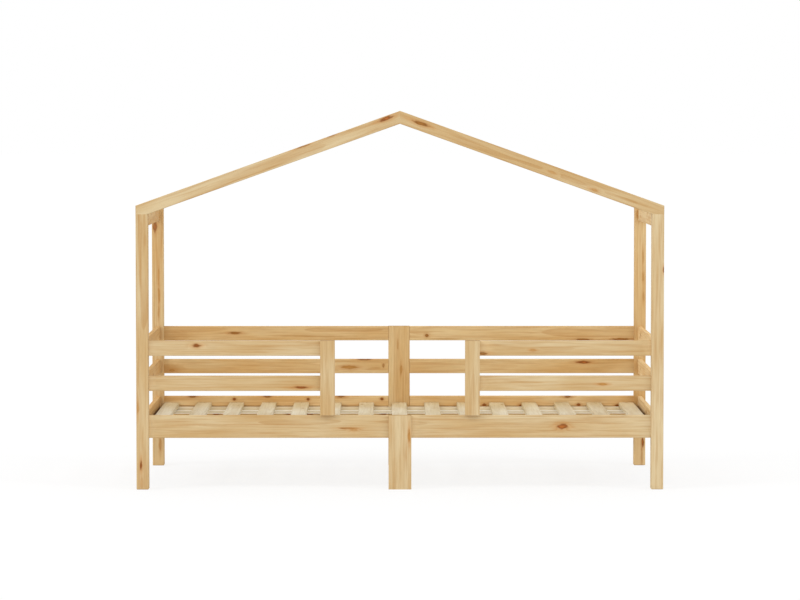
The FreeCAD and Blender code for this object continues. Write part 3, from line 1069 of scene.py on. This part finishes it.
@dataclass
class Fixings:
    """Bolts, nuts and screws of the frame, and the small screws of the slatted base."""

    screw_radius: float = 0.0032
    dome: float = 0.0008
    crown_inset: float = 0.0008
    level: float = 0.9
    recess_depth: float = 0.0007
    recess_reach: float = 0.0021
    recess_width: float = 0.0008
    sides: int = 24
    slats: int = 15
    end_screw_spacing: float = 0.19

    def dress_steel(self) -> None:
        """Puts the bright zinc finish on the bolts, nuts and long screws."""
        material = PlatedSteel(Plating.BRIGHT_ZINC).make("zinc_fixings")
        for name in ("board_screws", "rafter_screws", "rail_bolts", "rail_nuts"):
            fill_slots(name, material)
            LOG.info("%s dressed", name)

    def screw_head(self) -> bmesh.types.BMesh:
        """A domed screw head with a cross recess, standing on z = 0.

        Returns:
            The head's mesh, about the Z axis.
        """
        head = bmesh.new()
        bmesh.ops.create_circle(head, cap_ends=True, segments=self.sides, radius=self.screw_radius)
        raised = bmesh.ops.extrude_face_region(head, geom=head.faces[:])
        top = [item for item in raised["geom"] if isinstance(item, bmesh.types.BMVert)]
        bmesh.ops.translate(head, vec=(0, 0, self.dome / 2), verts=top)
        crown = [face for face in head.faces if face.normal.z > self.level]
        bmesh.ops.inset_region(head, faces=crown, thickness=self.crown_inset, depth=self.dome / 2)
        half = self.recess_width / 2
        for axis in (Vector((1, 0, 0)), Vector((0, 1, 0))):
            for offset in (-self.recess_reach, -half, half, self.recess_reach):
                flat = self._flat_top(head)
                parts = dict.fromkeys(part for face in flat for part in (face, *face.edges, *face.verts))
                bmesh.ops.bisect_plane(head, geom=list(parts), plane_co=axis * offset, plane_no=axis)
        cross = [face for face in self._flat_top(head) if self._in_cross(face.calc_center_median())]
        sunk = bmesh.ops.extrude_face_region(head, geom=cross)
        floor = [item for item in sunk["geom"] if isinstance(item, bmesh.types.BMVert)]
        bmesh.ops.delete(head, geom=cross, context="FACES")
        bmesh.ops.translate(head, vec=(0, 0, -self.recess_depth), verts=floor)
        bmesh.ops.recalc_face_normals(head, faces=head.faces[:])
        return head

    def _flat_top(self, head: bmesh.types.BMesh) -> list[bmesh.types.BMFace]:
        """The level faces at the head's full height."""
        high = self.dome * self.level
        return [f for f in head.faces if f.normal.z > self.level and f.calc_center_median().z > high]

    def _in_cross(self, point: Vector) -> bool:
        """Whether a point of the head's top lies in its cross recess."""
        near, far = sorted((abs(point.x), abs(point.y)))
        return near < self.recess_width / 2 and far < self.recess_reach

    def place_screws(self, name: str, spots: list[tuple[Vector, Vector]]) -> bpy.types.Object:
        """Makes one object of screw heads, each turned by its own angle.

        Args:
            name: The object's name.
            spots: Where each head sits and which way it looks.

        Returns:
            The object, riding on the bed.
        """
        head = self.screw_head()
        pattern = bpy.data.meshes.new("screw_head")
        head.to_mesh(pattern)
        head.free()
        chance = random.Random(name)
        group = bmesh.new()
        for place, out in spots:
            before = len(group.verts)
            group.from_mesh(pattern)
            turn = Matrix.Rotation(chance.uniform(0, math.pi), 4, "Z")
            aim = out.to_track_quat("Z", "Y").to_matrix().to_4x4()
            matrix = Matrix.Translation(place) @ aim @ turn
            bmesh.ops.transform(group, matrix=matrix, verts=group.verts[:][before:])
        mesh = bpy.data.meshes.new(name)
        group.to_mesh(mesh)
        group.free()
        bpy.data.meshes.remove(pattern)
        piece = bpy.data.objects.new(name, mesh)
        bpy.context.scene.collection.objects.link(piece)
        mesh.materials.append(PlatedSteel(Plating.YELLOW_ZINC).make(f"yellow_zinc_{name}"))
        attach(piece, ROOT)
        LOG.info("%s made, %d heads", name, len(spots))
        return piece

    def slat_screws(self) -> bpy.types.Object:
        """Makes one screw through each slat end into its strip.

        Returns:
            The screws, as one object.
        """
        spots = []
        for row in ("front", "rear"):
            low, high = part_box(f"{row}_slat_strip")
            for slat_low, slat_high in self._slat_boxes():
                place = Vector(((slat_low.x + slat_high.x) / 2, (low.y + high.y) / 2, slat_high.z))
                spots.append((place, Vector((0, 0, 1))))
        return self.place_screws("slat_screws", spots)

    def cleat_screws(self) -> bpy.types.Object:
        """Makes screws through the cleats into the rails, on the long sides one under every second slat.

        Returns:
            The screws, as one object.
        """
        spots = []
        for row, inwards in (("front", 1), ("rear", -1)):
            low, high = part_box(f"{row}_cleat")
            y = high.y if inwards > 0 else low.y
            for slat_low, slat_high in self._slat_boxes()[::2]:
                place = Vector(((slat_low.x + slat_high.x) / 2, y, (low.z + high.z) / 2))
                spots.append((place, Vector((0, inwards, 0))))
        for side, inwards in (("left", 1), ("right", -1)):
            low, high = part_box(f"{side}_cleat")
            x = high.x if inwards > 0 else low.x
            for step in (-2, -1, 0, 1, 2):
                place = Vector((x, step * self.end_screw_spacing, (low.z + high.z) / 2))
                spots.append((place, Vector((inwards, 0, 0))))
        return self.place_screws("cleat_screws", spots)

    def _slat_boxes(self) -> list[tuple[Vector, Vector]]:
        """The lowest and highest corner of every slat, from left to right."""
        return [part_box(f"slat_{number:02d}") for number in range(1, self.slats + 1)]


# ---- studio


@dataclass(frozen=True)
class SoftLight:
    """A broad, distant light: how high and how far to the side it stands, in degrees, and how soft it is."""

    name: str
    strength: float
    height: float
    side: float
    softness: float

    def build(self) -> bpy.types.Object:
        """Makes the light.

        Returns:
            The light's object.
        """
        lamp = bpy.data.lights.new(self.name, "SUN")
        lamp.energy = self.strength
        lamp.angle = math.radians(self.softness)
        light = bpy.data.objects.new(self.name, lamp)
        light.rotation_euler = (math.radians(90 - self.height), 0, math.radians(self.side))
        bpy.context.scene.collection.objects.link(light)
        return light


@dataclass
class Studio:
    """White room, soft light from the front and above, and the photograph's camera."""

    camera_place: tuple[float, float, float] = (-0.0552, -13.856, 1.4681)
    pitch_down: float = 3.078
    turn_right: float = 0.237
    focal_length_mm: float = 152.97
    sensor_width_mm: float = 36.0
    sight: float = 400.0
    floor_reach: float = 120.0
    floor_white: Colour = srgb(243, 243, 243)
    floor_glow: float = 0.80
    ambient: float = 0.88
    lights: tuple[SoftLight, ...] = (
        SoftLight("front", 0.25, 40.0, 0.0, 40.0),
        SoftLight("left", 0.85, 35.0, -62.0, 25.0),
        SoftLight("right", 0.45, 37.0, 62.0, 10.0),
    )

    def build(self) -> None:
        """Makes the floor, the light and the camera."""
        self._floor()
        self._world()
        for light in self.lights:
            light.build()
        self._camera()
        bpy.context.scene.view_settings.view_transform = "Standard"
        LOG.info("studio made, %d lights", len(self.lights))

    def _floor(self) -> None:
        """A wide white floor that keeps the bed's soft shadow."""
        plane = bmesh.new()
        bmesh.ops.create_grid(plane, x_segments=1, y_segments=1, size=self.floor_reach)
        mesh = bpy.data.meshes.new("studio_floor")
        plane.to_mesh(mesh)
        plane.free()
        floor = bpy.data.objects.new("studio_floor", mesh)
        bpy.context.scene.collection.objects.link(floor)
        bench = Bench(bpy.data.materials.new("studio_floor"))
        matt = bench.wire(bench.node("ShaderNodeBsdfDiffuse", {"Color": self.floor_white}))
        glow = bench.wire(bench.node("ShaderNodeEmission", {"Strength": 1.0}))
        seen = bench.wire(bench.node("ShaderNodeLightPath"), "Is Camera Ray") * self.floor_glow
        surface = bench.wire(bench.node("ShaderNodeMixShader", {0: seen, 1: matt, 2: glow}))
        bench.node("ShaderNodeOutputMaterial", {"Surface": surface})
        mesh.materials.append(bench.owner)

    def _world(self) -> None:
        """Even light from all round, and plain white where it is seen or mirrored."""
        world = bpy.data.worlds.new("studio_world")
        bpy.context.scene.world = world
        bench = Bench(world)
        soft, plain = (
            bench.wire(bench.node("ShaderNodeBackground", {"Color": WHITE, "Strength": strength}))
            for strength in (self.ambient, 1.0)
        )
        path = bench.node("ShaderNodeLightPath")
        seen = bench.wire(path, "Is Camera Ray")
        for other in ("Is Transmission Ray", "Is Glossy Ray"):
            seen = bench.maths("MAXIMUM", seen, bench.wire(path, other))
        surface = bench.wire(bench.node("ShaderNodeMixShader", {0: seen, 1: soft, 2: plain}))
        bench.node("ShaderNodeOutputWorld", {"Surface": surface})

    def _camera(self) -> None:
        """The camera, found from the bed's edges in the photograph."""
        lens = bpy.data.cameras.new("camera")
        lens.lens = self.focal_length_mm
        lens.sensor_width = self.sensor_width_mm
        lens.clip_end = self.sight
        camera = bpy.data.objects.new("camera", lens)
        camera.location = self.camera_place
        camera.rotation_euler = (math.radians(90 - self.pitch_down), 0, math.radians(-self.turn_right))
        bpy.context.scene.collection.objects.link(camera)
        bpy.context.scene.camera = camera


def main() -> None:
    """Dresses every timber and fixing, adds the small screws and sets up the studio."""
    logging.basicConfig(level=logging.INFO, format="%(message)s")
    for part in (HouseFrame(), FrontSide(), RearSide(), EndFrames(), SlattedBase()):
        part.dress()
    Timber("ridge_keys", Grain.RAIL, RAW).dress()
    fixings = Fixings()
    fixings.dress_steel()
    fixings.slat_screws()
    fixings.cleat_screws()
    Studio().build()


if __name__ == "__main__":
    main()
